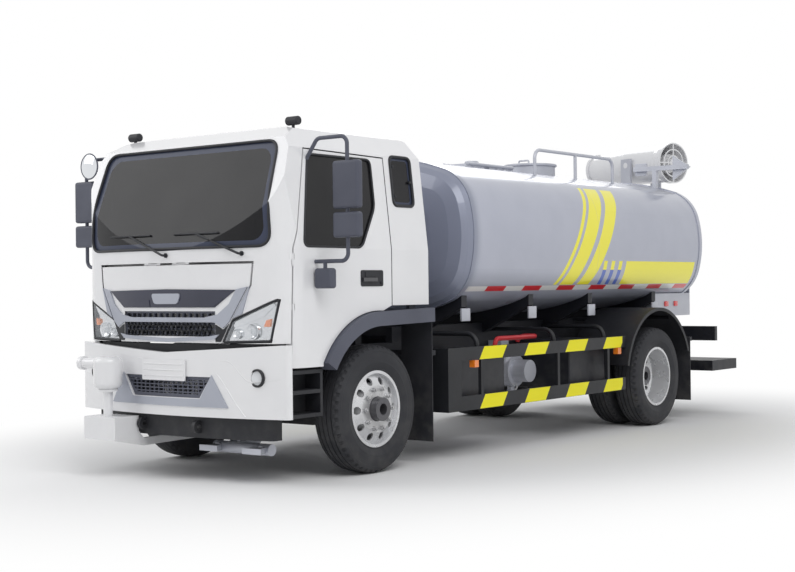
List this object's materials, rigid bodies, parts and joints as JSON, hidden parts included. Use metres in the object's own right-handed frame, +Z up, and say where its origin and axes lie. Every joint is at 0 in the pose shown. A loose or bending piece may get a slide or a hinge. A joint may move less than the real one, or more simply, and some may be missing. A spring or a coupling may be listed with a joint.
{
  "type": "water tanker truck",
  "caption": "Two-axle water tanker truck with a tilting cab, long rounded tank, fog cannon behind it and a spray gun at the bumper.",
  "frame": {"origin": "on the ground under the middle of the truck's box", "axes": "+X forward towards the cab, +Y to the truck's left, +Z up"},
  "size_m": [8.3405, 3.136, 3.0949],
  "materials": {
    "painted_white": "gloss",
    "tank_paint": "satin",
    "frame_paint": "satin",
    "engine_iron": "matte",
    "fuel_alloy": "satin",
    "dark_plastic": "matte",
    "lamp_lens": "gloss",
    "glazing": "gloss",
    "seat_cloth": "matte",
    "rim_paint": "satin",
    "tyre_rubber": "matte",
    "flap_rubber": "matte"
  },
  "bodies": {
    "chassis": {"frame_rails": "frame_paint", "subframe": "tank_paint", "engine_block": "engine_iron", "driveline": "frame_paint", "front_axle": "frame_paint", "rear_axle": "frame_paint", "leaf_springs": "frame_paint", "fuel_tank": "fuel_alloy", "battery_box": "frame_paint", "tool_box": "frame_paint", "filter_canister": "dark_plastic", "pump_unit": "frame_paint", "water_pipes": "frame_paint", "side_guards": "frame_paint", "rear_fenders": "dark_plastic", "mudflaps": "flap_rubber", "steps": "dark_plastic", "tank": "tank_paint", "tank_fittings": "tank_paint", "cab_stays": "frame_paint", "front_bumper": "painted_white", "lower_grille": "dark_plastic", "valance": "dark_plastic", "chassis_lamps": "lamp_lens", "gun_mount": "tank_paint", "rear_platform": "frame_paint", "rear_cabinet": "tank_paint", "cannon_tower": "frame_paint", "arrow_board": "tank_paint"},
    "cab": {"cab_shell": "painted_white", "cab_glass": "glazing", "headlamps": "lamp_lens", "fender_flares": "dark_plastic", "seats": "seat_cloth", "dashboard": "dark_plastic", "steering_wheel": "dark_plastic", "roof_lamps": "dark_plastic", "wipers": "dark_plastic"},
    "door_left": {"door_left": "painted_white", "door_glass_left": "glazing", "mirror_left": "dark_plastic"},
    "door_right": {"door_right": "painted_white", "door_glass_right": "glazing", "mirror_right": "dark_plastic"},
    "front_flap": {"front_flap": "painted_white", "grille": "dark_plastic"},
    "steer_left": {"knuckle_left": "frame_paint"},
    "steer_right": {"knuckle_right": "frame_paint"},
    "wheel_front_left": {"rim_front_left": "rim_paint", "tyre_front_left": "tyre_rubber"},
    "wheel_front_right": {"rim_front_right": "rim_paint", "tyre_front_right": "tyre_rubber"},
    "wheel_rear_left": {"rim_rear_left": "rim_paint", "tyre_rear_left": "tyre_rubber"},
    "wheel_rear_right": {"rim_rear_right": "rim_paint", "tyre_rear_right": "tyre_rubber"},
    "manhole_lid": {"manhole_lid": "tank_paint"},
    "cannon_yoke": {"cannon_yoke": "tank_paint"},
    "cannon_barrel": {"cannon_barrel": "painted_white"},
    "spray_gun": {"spray_gun": "dark_plastic"}
  },
  "joints": [
    {"name": "cab_tilt", "type": "hinge", "parent": "chassis", "child": "cab", "pos_m": [3.824, 0, 0.95], "axis": [0, 1, 0], "range_deg": [0, 45]},
    {"name": "door_left_swing", "type": "hinge", "parent": "cab", "child": "door_left", "pos_m": [3.669, 1.098, 1.3], "axis": [0, 0, -1], "range_deg": [0, 68]},
    {"name": "door_right_swing", "type": "hinge", "parent": "cab", "child": "door_right", "pos_m": [3.669, -1.098, 1.3], "axis": [0, 0, 1], "range_deg": [0, 68]},
    {"name": "front_flap_lift", "type": "hinge", "parent": "cab", "child": "front_flap", "pos_m": [3.89, 0, 1.648], "axis": [0, -1, 0], "range_deg": [0, 70]},
    {"name": "steer_left", "type": "hinge", "parent": "chassis", "child": "steer_left", "pos_m": [2.714, 0.8, 0.503], "axis": [0, 0, 1], "range_deg": [-38, 38]},
    {"name": "steer_right", "type": "hinge", "parent": "chassis", "child": "steer_right", "pos_m": [2.714, -0.8, 0.503], "axis": [0, 0, 1], "range_deg": [-38, 38]},
    {"name": "wheel_front_left_spin", "type": "hinge", "parent": "steer_left", "child": "wheel_front_left", "pos_m": [2.714, 0.988, 0.503], "axis": [0, 1, 0], "continuous": true},
    {"name": "wheel_front_right_spin", "type": "hinge", "parent": "steer_right", "child": "wheel_front_right", "pos_m": [2.714, -0.988, 0.503], "axis": [0, 1, 0], "continuous": true},
    {"name": "wheel_rear_left_spin", "type": "hinge", "parent": "chassis", "child": "wheel_rear_left", "pos_m": [-1.786, 0.928, 0.503], "axis": [0, 1, 0], "continuous": true},
    {"name": "wheel_rear_right_spin", "type": "hinge", "parent": "chassis", "child": "wheel_rear_right", "pos_m": [-1.786, -0.928, 0.503], "axis": [0, 1, 0], "continuous": true},
    {"name": "manhole_lid_open", "type": "hinge", "parent": "chassis", "child": "manhole_lid", "pos_m": [-1.6405, 0, 2.7125], "axis": [0, -1, 0], "range_deg": [0, 100]},
    {"name": "cannon_pan", "type": "hinge", "parent": "chassis", "child": "cannon_yoke", "pos_m": [-3.766, 0, 2.35], "axis": [0, 0, 1], "range_deg": [-190, 45]},
    {"name": "cannon_tilt", "type": "hinge", "parent": "cannon_yoke", "child": "cannon_barrel", "pos_m": [-3.766, 0, 2.86], "axis": [-0.9563, 0.2924, 0], "range_deg": [-10, 38]},
    {"name": "spray_gun_pan", "type": "hinge", "parent": "chassis", "child": "spray_gun", "pos_m": [4.054, -0.5, 0.8], "axis": [0, 0, 1], "range_deg": [0, 135]}
  ],
  "couplings": [
    {"joint": "steer_right", "follows": "steer_left", "ratio": 1}
  ]
}
